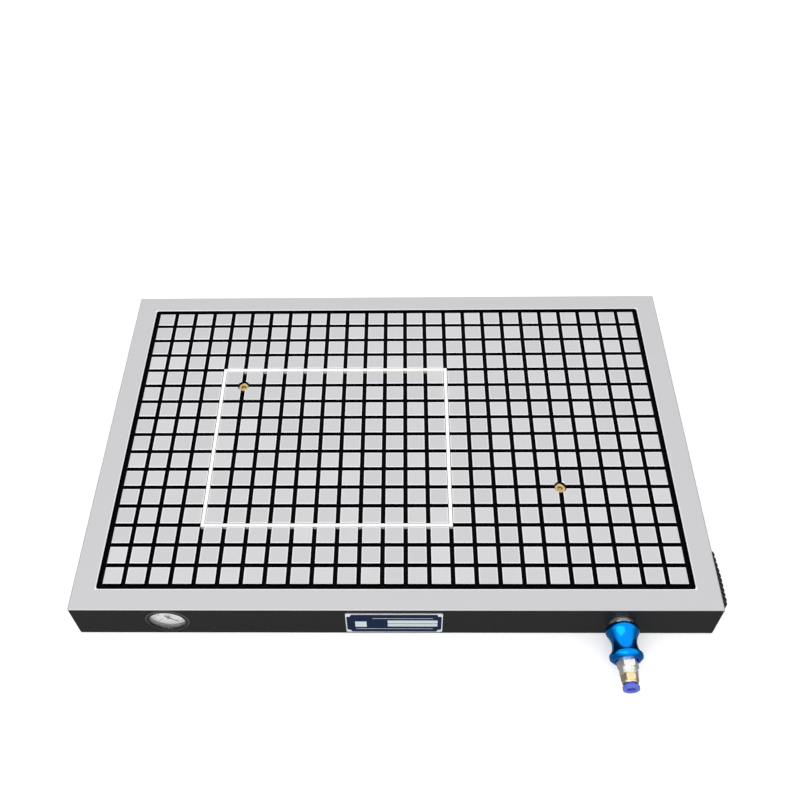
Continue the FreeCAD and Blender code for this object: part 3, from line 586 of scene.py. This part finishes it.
def eased_node(node, name, width_mm, material, body, angle=30.0):
    """A frame node with its sharp edges eased."""
    mesh, shape = merged_copy(node)
    bmesh.ops.dissolve_limit(shape, angle_limit=math.radians(0.5), verts=shape.verts, edges=shape.edges)
    shape.to_mesh(mesh)
    shape.free()
    piece = worked_out(ease_edges(new_object(name, mesh), width_mm, angle=angle))
    return finish_piece(piece, material, body, node)


def dressed(node, material):
    """A frame node that keeps its shape and takes a new material."""
    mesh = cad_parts[node].data
    mesh.materials.clear()
    mesh.materials.append(material)


def plate_mesh(name, outline, thickness):
    """A flat shape from an outline of (x, y) points, in millimetres."""
    shape = bmesh.new()
    face = shape.faces.new([shape.verts.new((x * MM, y * MM, 0)) for x, y in outline])
    made = bmesh.ops.extrude_face_region(shape, geom=[face])
    risen = [part for part in made["geom"] if isinstance(part, bmesh.types.BMVert)]
    bmesh.ops.translate(shape, verts=risen, vec=(0, 0, thickness * MM))
    return closed_mesh(name, shape)


# Node trees that grow what repeats or follows a path


def new_tree(name, sizes):
    """An empty node tree with a starting shape, named sizes and a material as its inputs."""
    tree = bpy.data.node_groups.new(name, "GeometryNodeTree")
    tree.interface.new_socket("Shape", in_out="INPUT", socket_type="NodeSocketGeometry")
    for size, kind in sizes.items():
        tree.interface.new_socket(size, in_out="INPUT", socket_type="NodeSocket" + kind)
    tree.interface.new_socket("Material", in_out="INPUT", socket_type="NodeSocketMaterial")
    tree.interface.new_socket("Shape", in_out="OUTPUT", socket_type="NodeSocketGeometry")
    given = add(tree, "NodeGroupInput").outputs
    return tree, given


def close_tree(tree, given, geometry):
    """The end of a tree: real geometry, with its material."""
    real = add(tree, "GeometryNodeRealizeInstances", {0: geometry})
    painted = add(tree, "GeometryNodeSetMaterial", {0: real.outputs[0], "Material": given["Material"]})
    add(tree, "NodeGroupOutput", {0: painted.outputs[0]})
    return tree


def cord_tree():
    """A starting outline carried round a rectangle, with its corners mitred."""
    tree, given = new_tree("cord_round_a_rectangle", {"Length": "Float", "Width": "Float"})
    path = add(tree, "GeometryNodeCurvePrimitiveQuadrilateral",
               {"Width": given["Length"], "Height": given["Width"]})
    level = add(tree, "GeometryNodeSetCurveNormal", {0: path.outputs[0]}, mode="Z_UP")
    outline = add(tree, "GeometryNodeMeshToCurve", {0: given["Shape"]})
    body = add(tree, "GeometryNodeCurveToMesh",
               {"Curve": level.outputs[0], "Profile Curve": outline.outputs[0]})
    return close_tree(tree, given, body.outputs[0])


def rim_tree():
    """Copies of the starting shape at even steps along the rim of a rectangle."""
    tree, given = new_tree("fasteners_along_a_rim", {"Length": "Float", "Width": "Float", "Columns": "Int",
                                                     "Rows": "Int"})
    grid = add(tree, "GeometryNodeMeshGrid", {"Size X": given["Length"], "Size Y": given["Width"],
                                              "Vertices X": given["Columns"], "Vertices Y": given["Rows"]})
    place = add(tree, "ShaderNodeSeparateXYZ", {0: add(tree, "GeometryNodeInputPosition").outputs[0]})
    reach = []
    for axis, size in (("X", "Length"), ("Y", "Width")):
        far = add(tree, "ShaderNodeMath", {0: place.outputs[axis]}, operation="ABSOLUTE")
        part = add(tree, "ShaderNodeMath", {0: far.outputs[0], 1: given[size]}, operation="DIVIDE")
        reach.append(part.outputs[0])
    farthest = add(tree, "ShaderNodeMath", {0: reach[0], 1: reach[1]}, operation="MAXIMUM")
    within = add(tree, "ShaderNodeMath", {0: farthest.outputs[0], 1: 0.499}, operation="LESS_THAN")
    rim = add(tree, "GeometryNodeDeleteGeometry",
              {"Geometry": grid.outputs[0], "Selection": within.outputs[0]})
    copies = add(tree, "GeometryNodeInstanceOnPoints", {"Points": rim.outputs[0], "Instance": given["Shape"]})
    return close_tree(tree, given, copies.outputs[0])


def tick_tree():
    """Radial marks at even steps along an arc."""
    tree, given = new_tree("ticks_along_an_arc", {"Count": "Int", "Start": "Float", "Step": "Float",
                                                  "Radius": "Float", "Length": "Float", "Width": "Float",
                                                  "Height": "Float"})
    number = add(tree, "GeometryNodeInputIndex")
    angle = add(tree, "ShaderNodeMath", {0: number.outputs[0], 1: given["Step"], 2: given["Start"]},
                operation="MULTIPLY_ADD").outputs[0]
    middle = add(tree, "ShaderNodeMath", {0: given["Length"], 1: -0.5, 2: given["Radius"]},
                 operation="MULTIPLY_ADD").outputs[0]
    across = add(tree, "ShaderNodeMath", {0: angle}, operation="COSINE")
    along = add(tree, "ShaderNodeMath", {0: angle}, operation="SINE")
    direction = add(tree, "ShaderNodeCombineXYZ", {"X": across.outputs[0], "Y": along.outputs[0]})
    place = add(tree, "ShaderNodeVectorMath", {0: direction.outputs[0], "Scale": middle}, operation="SCALE")
    points = add(tree, "GeometryNodePoints", {"Count": given["Count"], "Position": place.outputs[0]})
    turn = add(tree, "FunctionNodeEulerToRotation",
               {0: add(tree, "ShaderNodeCombineXYZ", {"Z": angle}).outputs[0]})
    size = add(tree, "ShaderNodeCombineXYZ",
               {"X": given["Length"], "Y": given["Width"], "Z": given["Height"]})
    mark = add(tree, "GeometryNodeMeshCube", {"Size": size.outputs[0]})
    copies = add(tree, "GeometryNodeInstanceOnPoints",
                 {"Points": points.outputs[0], "Instance": mark.outputs[0], "Rotation": turn.outputs[0]})
    return close_tree(tree, given, copies.outputs[0])


def grown(name, start, tree, place, material, **sizes):
    """The plain piece that a tree grows from a starting mesh, put in its place."""
    piece = new_object(name, start)
    growth = piece.modifiers.new("growth", "NODES")
    growth.node_group = tree
    values = {size.replace("_", " "): value for size, value in sizes.items()}
    values["Material"] = material
    for socket in tree.interface.items_tree:
        if socket.in_out == "INPUT" and socket.name in values:
            growth[socket.identifier] = values[socket.name]
    worked_out(piece)
    piece.data.transform(place)
    return piece


# The block and its cover


def build_block(face, edge, side, groove):
    """The block: the edges of its lands are broken and bright, and its sides and grooves stay black."""
    mesh, shape = merged_copy("chuck_body")
    top = block_top * MM
    tiny = 0.01 * MM
    widest = max(land_edge, mouth_edge, pocket_edge)
    # The block's own outer edge stays sharp
    rim_inset = 10.0
    inner_x = (block_high.x - rim_inset) * MM
    inner_y = (block_high.y - rim_inset) * MM
    weight = shape.edges.layers.float.new("bevel_weight_edge")
    pocket = Vector((gauge_middle.x, front_y, gauge_middle.z)) * MM
    mouths = [Vector((spot.x, spot.y, block_top)) * MM for spot in plug_middles]

    def rings(line, centre, radius):
        """Whether an edge lies on a circle about a centre."""
        return all(abs((corner.co - centre).length - radius * MM) < 0.05 * MM for corner in line.verts)

    for line in shape.edges:
        if len(line.link_faces) != 2 or line.calc_face_angle(0.0) < math.radians(60):
            continue
        if all(abs(corner.co.z - top) < tiny for corner in line.verts):
            if any(rings(line, mouth, mouth_radius) for mouth in mouths):
                line[weight] = mouth_edge / widest
            elif all(abs(corner.co.x) < inner_x and abs(corner.co.y) < inner_y for corner in line.verts):
                line[weight] = land_edge / widest
        elif rings(line, pocket, pocket_radius) and all(
                abs(corner.co.y - front_y * MM) < tiny for corner in line.verts):
            line[weight] = pocket_edge / widest
    shape.to_mesh(mesh)
    shape.free()
    piece = worked_out(ease_edges(new_object("block", mesh), widest, "WEIGHT", 1))
    for material in (face, edge, side, groove):
        piece.data.materials.append(material)
    half_x = (land_columns * land_spacing / 2 + border_groove_width) * MM
    half_y = (land_rows * land_spacing / 2 + border_groove_width) * MM
    for part in piece.data.polygons:
        in_grid = abs(part.center.x) < half_x and abs(part.center.y) < half_y
        if part.normal.z > 0.99 and part.center.z > top - tiny:
            part.material_index = 0
        elif part.normal.z > 0.4 and part.center.z > top - 1 * MM:
            part.material_index = 1
        elif in_grid and part.center.z > top - (groove_depth + 0.1) * MM:
            part.material_index = 3
        else:
            part.material_index = 2
    finish_piece(piece, None, "block", "chuck_body")


def build_cover(material, steel, rim):
    """The bottom cover with its countersunk screws along the rim."""
    mesh, shape = merged_copy("bottom_cover")
    bmesh.ops.dissolve_limit(shape, angle_limit=math.radians(0.5), verts=shape.verts, edges=shape.edges)
    shape.to_mesh(mesh)
    shape.free()
    piece = ease_edges(new_object("cover_plate", mesh), 0.4)
    inset = 10.0
    middle = (cover_low + cover_high) / 2
    place = Matrix.Translation(Vector((middle.x, middle.y, cover_low.z)) * MM)
    sizes = {"Length": (cover_high.x - cover_low.x - 2 * inset) * MM,
             "Width": (cover_high.y - cover_low.y - 2 * inset) * MM, "Columns": 10, "Rows": 4}
    sink = turned_mesh("countersink", [(-0.6, 0), (-0.6, 5.5), (2.7, 2.2), (2.7, 0)], 32)
    cutter = grown("countersinks", sink, rim, place, material, **sizes)
    carving = piece.modifiers.new("countersinks", "BOOLEAN")
    carving.operation = "DIFFERENCE"
    carving.solver = "EXACT"
    carving.object = cutter
    worked_out(piece)
    bpy.data.objects.remove(cutter)
    finish_piece(piece, material, "block", "bottom_cover")
    head = [(2.2, 0), (1.9, 3, 3), (0.1, 3, 3), (0.1, 4.2), (0.3, 4.4), (2.55, 2.15), (2.55, 0)]
    screw = turned_mesh("cover_screw", head, 24)
    screws = grown("cover_screws", screw, rim, place, steel, **sizes)
    finish_piece(screws, None, "block")


def build_cord(material):
    """The cord lies in the grooves as one loop with a slightly rounded top."""
    shown_gap = 0.4
    cad_gap = 0.1
    half = grid_groove_width / 2 - shown_gap
    crown = 0.6
    sunk = 0.4
    bottom = block_top - groove_depth
    shoulder = cord_high.z - sunk - crown
    outline = [(-half, bottom), (half, bottom), (half, shoulder)]
    steps = 10
    for step in range(1, steps):
        angle = math.pi * step / steps
        outline.append((half * math.cos(angle), shoulder + crown * math.sin(angle) ** 0.6))
    outline.append((-half, shoulder))
    mesh = bpy.data.meshes.new("cord_outline")
    count = len(outline)
    # A corner's outline lies on the diagonal, so it is wider than the cord
    mitre = math.sqrt(2)
    mesh.from_pydata([(x * mitre * MM, -y * MM, 0) for x, y in outline],
                     [(i, (i + 1) % count) for i in range(count)], [])
    middle = (cord_low + cord_high) / 2
    cad_half = grid_groove_width / 2 - cad_gap
    place = Matrix.Translation(Vector((middle.x, middle.y, 0)) * MM)
    piece = grown("seal_cord_loop", mesh, cord_tree(), place, material,
                  Length=(cord_high.x - cord_low.x - 2 * cad_half) * MM,
                  Width=(cord_high.y - cord_low.y - 2 * cad_half) * MM)
    shape = bmesh.new()
    shape.from_mesh(piece.data)
    bmesh.ops.recalc_face_normals(shape, faces=shape.faces)
    shape.to_mesh(piece.data)
    shape.free()
    finish_piece(piece, None, "block", "seal_cord", 50)


# The gauge


def on_gauge(name, mesh, depth, material, body, node=None):
    """A piece on the gauge's axis, drawn as it is seen from the front, at a depth behind the front face."""
    mesh.transform(laid_along((gauge_middle.x, front_y + depth, gauge_middle.z), FRONT))
    return finish_piece(new_object(name, mesh), material, body, node)


def build_bezel(material):
    """The round bezel with its rolled inner and outer edges."""
    outline = [(-1.2, 16.5), (-0.7, 16.5), (-0.3, 16.65), (-0.1, 16.95), (0, 17.4), (0, 19.6), (-0.1, 20.1),
               (-0.35, 20.5), (-0.8, 20.7), (-3, 20.7), (-3, 17.6), (-1.2, 17.6)]
    on_gauge("bezel", turned_mesh("bezel", outline, 128), 0, material, "block", "gauge_bezel")


def build_dial_print(ink, face_depth):
    """The dial's scale: ticks, figures and the unit."""
    turn = math.radians(270)
    start = math.radians(-45)
    place = laid_along((gauge_middle.x, front_y + face_depth, gauge_middle.z), FRONT)
    ticks = tick_tree()
    for name, count, length, width in (("fine_ticks", 51, 1.3, 0.2), ("long_ticks", 11, 2.4, 0.42)):
        piece = grown(name, bpy.data.meshes.new(name), ticks, place, ink, Count=count, Start=start,
                      Step=turn / (count - 1), Radius=15.6 * MM, Length=length * MM, Width=width * MM,
                      Height=0.06 * MM)
        finish_piece(piece, None, "block")
    words = []
    for index in range(6):
        angle = start + turn * index / 5
        figure = "0" if index == 0 else "-%g" % (0.02 * index)
        words.append((figure, 2.5, 10.9 * math.cos(angle), 10.9 * math.sin(angle)))
    words.append(("MPa", 2.8, 0, -6.5))
    shape = bmesh.new()
    for text, size, x, y in words:
        curve = bpy.data.curves.new("figure", "FONT")
        curve.body = text
        curve.size = size * MM
        curve.align_x = "CENTER"
        curve.align_y = "CENTER"
        curve.extrude = 0.03 * MM
        letter = new_object("figure", curve)
        mesh = bpy.data.meshes.new_from_object(letter.evaluated_get(bpy.context.evaluated_depsgraph_get()))
        bpy.data.objects.remove(letter)
        mesh.transform(Matrix.Translation(Vector((x, y, 0)) * MM))
        shape.from_mesh(mesh)
    mesh = bpy.data.meshes.new("dial_figures")
    shape.to_mesh(mesh)
    shape.free()
    on_gauge("dial_figures", mesh, face_depth, ink, "block")


# The rating plate


def build_plate(silver, navy, pale, rim):
    """The rating plate: silver edge and corners, a navy field, bare pale fields, plain rules and rivets."""
    dressed("nameplate", silver)
    face = (plate_middle.x, plate_low.y, plate_middle.z)
    half_length = (plate_high.x - plate_low.x) / 2
    half_height = (plate_high.z - plate_low.z) / 2

    def laid_on(name, outline, thickness, material):
        """One flat printed layer on the plate's face."""
        mesh = plate_mesh(name, outline, thickness)
        mesh.transform(laid_along(face, FRONT))
        finish_piece(new_object(name, mesh), material, "block")

    field_depth = 0.05
    print_depth = 0.1
    border = 1.0
    corner = 5.0
    x = half_length - border
    z = half_height - border
    laid_on("plate_field", [(-x + corner, -z), (x - corner, -z), (x, -z + corner), (x, z - corner),
                            (x - corner, z), (-x + corner, z), (-x, z - corner), (-x, -z + corner)],
            field_depth, navy)
    # Printed rectangles: left and right ends, then lower and upper edges, from the plate's middle
    prints = {"plate_square": (-36.3, -25.7, -7.4, 3.7), "plate_bar_upper": (-6.0, 40.3, -0.2, 5.9),
              "plate_bar_lower": (-6.0, 40.3, -6.6, -1.2), "plate_rule_upper": (-20.0, 36.0, 9.6, 10.3),
              "plate_rule_lower": (-36.0, 36.0, -11.7, -11.0)}
    for name, (left, right, low, high) in prints.items():
        laid_on(name, [(left, low), (right, low), (right, high), (left, high)], print_depth, pale)
    dome = [(-0.2, 0), (-0.2, 1.5), (0.12, 1.5), (0.4, 1.2), (0.58, 0.7), (0.64, 0)]
    inset = 3.2
    rivets = grown("plate_rivets", turned_mesh("rivet", dome, 24), rim, laid_along(face, FRONT), silver,
                   Length=2 * (half_length - inset) * MM, Width=2 * (half_height - inset) * MM,
                   Columns=2, Rows=2)
    finish_piece(rivets, None, "block")


# The valve and its fitting


def on_valve(name, outline, material, body, node, steps=96):
    """A turned piece on the valve's axis. Its stations are distances from the block's front face."""
    mesh = turned_mesh(name, outline, steps)
    mesh.transform(laid_along((valve_middle.x, front_y, valve_middle.z), FRONT))
    finish_piece(new_object(name, mesh), material, body, node)


def build_sleeve(material):
    """The hand sleeve: a domed rear bead, a drawn-in waist and a flange with a bevelled front."""
    waist = flowing([(4.5, 11.0), (4.7, 12.6), (5.4, 14.2), (6.8, 15.2), (9.4, 15.55), (11.4, 15.1),
                     (13.4, 14.0), (16.0, 12.75), (19.0, 11.8), (22.0, 11.42), (25.0, 11.6), (28.0, 12.3),
                     (30.4, 13.2), (31.9, 13.95)], 5)
    flange = [(32.1, 14.0), (32.1, 14.75), (32.25, 15.05), (32.6, 15.25), (35.0, 15.25), (35.5, 15.1),
              (37.7, 12.9), (38.0, 12.5), (38.1, 12.0), (38.1, 10.7), (37.7, 10.3)]
    bore = [(31.1, 10.3), (31.1, 8.56), (18.7, 8.56), (18.7, 9.76), (7.5, 9.76), (7.5, 8.56), (4.9, 8.56),
            (4.5, 8.9)]
    on_valve("hand_sleeve", waist + flange + bore, material, "slide_sleeve", "slide_sleeve")


def build_plug(side, material):
    """A brass port plug: a low round head with a broken rim and a hexagon socket."""
    middle = middle_mm("port_plug_" + side)
    low, high = box_mm("port_plug_" + side)
    head = high.z + 1.4
    key = 5.0
    outline = [(head - 5.0, 0), (head - 4.6, 2.4), (head - 4.5, 3.2, key), (head - 0.5, 3.2, key),
               (head, 3.5), (head, 4.8), (head - 0.15, 5.2), (head - 0.6, 5.45), (40.6, 5.45),
               (40.6, 3.95), (low.z, 3.95), (low.z, 0)]
    mesh = turned_mesh("plug_" + side, outline, 72)
    mesh.transform(Matrix.Translation(Vector((middle.x, middle.y, 0)) * MM))
    body = "port_plug_" + side
    finish_piece(new_object("plug_" + side, mesh), material, body, body)


def build_front_end(material):
    """The barrel's front end: a chamfered hexagon, then a round collar between two ring grooves."""
    flats = 17.0
    hexagon = [(38.4, 5.5), (38.4, 8.7, flats), (39.0, 9.9, flats), (44.7, 9.9, flats), (45.3, 8.7, flats)]
    collar = [(45.3, 7.8), (45.8, 7.8), (45.85, 8.15), (46.0, 8.3), (48.6, 8.3), (48.75, 8.15), (48.8, 7.8),
              (49.3, 7.8), (49.35, 8.15), (49.5, 8.3), (50.9, 8.3), (51.1, 8.1)]
    hollow = [(51.1, 6.6), (41.55, 6.6), (41.55, 3.5), (31.4, 3.5), (31.4, 5.5)]
    on_valve("front_end", hexagon + collar + hollow, material, "block", "valve_front_end")


def build_fitting(material):
    """The brass fitting: male thread, chamfered hexagon, and the rounded nose round the collet."""
    flats = 14.0
    thread = [(41.6, 3.0), (41.6, 6.2), (42.0, 6.55), (51.1, 6.55)]
    hexagon = [(51.1, 7.2, flats), (51.6, 8.2, flats), (56.9, 8.2, flats), (57.5, 7.1, flats)]
    nose = [(57.5, 7.0), (57.7, 7.2), (58.8, 7.2), (59.3, 6.95), (59.5, 6.5)]
    cavity = [(59.5, 6.15), (59.3, 6.05), (50.9, 6.05), (50.9, 4.2), (47.5, 4.2), (47.5, 3.0)]
    on_valve("fitting", thread + hexagon + nose + cavity, material, "block", "fitting_body")


def build_collet(material):
    """The release collet with a rounded rim."""
    outline = [(53.5, 4.1), (53.5, 5.2), (61.3, 5.2), (61.3, 7.0), (61.5, 7.4), (61.9, 7.6), (64.2, 7.6),
               (64.8, 7.4), (65.1, 6.9), (65.1, 5.4), (64.7, 4.6), (63.9, 4.1)]
    on_valve("release_ring", outline, material, "release_collet", "release_collet", 72)


# Lights and floor


def build_stage():
    """A plain pale floor, a sky that darkens towards the horizon and one large soft lamp."""
    reach = 6.0
    below = -0.3 * MM
    mesh = bpy.data.meshes.new("floor")
    mesh.from_pydata([(-reach, -reach, below), (reach, -reach, below), (reach, reach, below),
                      (-reach, reach, below)], [], [(0, 1, 2, 3)])
    floor = new_object("floor", mesh)
    material, tree, shader, place = surface("white_floor", "FFFFFF", Roughness=0.9)
    shader.inputs["Specular IOR Level"].default_value = 0.0
    shader.inputs["Emission Color"].default_value = (1, 1, 1, 1)
    shader.inputs["Emission Strength"].default_value = 0.25
    mesh.materials.append(material)
    # Polished parts mirror the dim room instead of the floor
    floor.visible_glossy = False
    shape = bmesh.new()
    bmesh.ops.create_uvsphere(shape, u_segments=48, v_segments=24, radius=reach)
    backdrop = new_object("backdrop", closed_mesh("backdrop", shape))
    paper, tree, shader, place = surface("white_backdrop", "FFFFFF", Roughness=0.9)
    shader.inputs["Emission Color"].default_value = (1, 1, 1, 1)
    shader.inputs["Emission Strength"].default_value = 1.0
    backdrop.data.materials.append(paper)
    # The backdrop is only a plain ground behind the object and takes no part in its light
    for kind in ("diffuse", "glossy", "transmission", "volume_scatter", "shadow"):
        setattr(backdrop, "visible_" + kind, False)
    world = bpy.data.worlds.new("sky")
    bpy.context.scene.world = world
    world.use_nodes = True
    tree = world.node_tree
    place = add(tree, "ShaderNodeTexCoord")
    height = add(tree, "ShaderNodeSeparateXYZ", {0: place.outputs["Generated"]})
    ramp = add(tree, "ShaderNodeMapRange", {"Value": height.outputs["Z"], "From Min": 0.0, "From Max": 0.5,
                                            "To Min": 0.25, "To Max": 1.08})
    tree.nodes["Background"].inputs["Color"].default_value = (1, 1, 1, 1)
    tree.links.new(ramp.outputs[0], tree.nodes["Background"].inputs["Strength"])
    data = bpy.data.lights.new("soft_lamp", "AREA")
    data.shape = "RECTANGLE"
    data.size = 2.0
    data.size_y = 1.6
    data.energy = 14
    lamp = bpy.data.objects.new("soft_lamp", data)
    lamp.location = (-0.6, -1.3, 1.8)
    lamp.rotation_mode = "QUATERNION"
    lamp.rotation_quaternion = (-lamp.location).to_track_quat("-Z", "Y")
    bpy.context.scene.collection.objects.link(lamp)
    bpy.context.scene.view_settings.view_transform = "Standard"


make_camera()
build_stage()
black_side = black_anodised()
brass = machined_brass()
nickel = nickel_plate()
rubber = seal_rubber()
zinc = satin_zinc()
rim = rim_tree()
build_block(milled_aluminium(), cut_edge(), black_side, groove_black())
build_cover(black_side, zinc, rim)
build_cord(sponge_rubber())
build_sleeve(blue_anodised())
build_front_end(nickel)
build_fitting(pale_brass())
build_collet(violet_acetal())
build_bezel(bezel_black())
build_dial_print(printing_ink(), box_mm("gauge_dial")[0].y - front_y)
build_plate(plate_silver(), plate_blue(), plate_field(), rim)
eased_node("valve_barrel", "barrel", 0.25, nickel, "block")
eased_node("exhaust_silencer", "silencer", 0.4, moulded_black(), "block")
for side in ("left", "right"):
    build_plug(side, brass)
    dressed("port_seal_" + side, rubber)
dressed("cover_gasket", rubber)
dressed("gauge_case", grey_enamel())
dressed("gauge_lens", gauge_glass())
dressed("gauge_dial", enamel_white())
dressed("gauge_pointer", pointer_paint())
for name in ("gauge_pinion", "gauge_sector", "gauge_link", "gauge_frame", "gauge_tube", "gauge_socket",
             "ejector_nozzle"):
    dressed(name, brass)
dressed("ejector_diffuser", turned_aluminium())
dressed("silencer_felt", pressed_felt())
dressed("valve_washer", zinc)
dressed("fitting_insert", zinc)
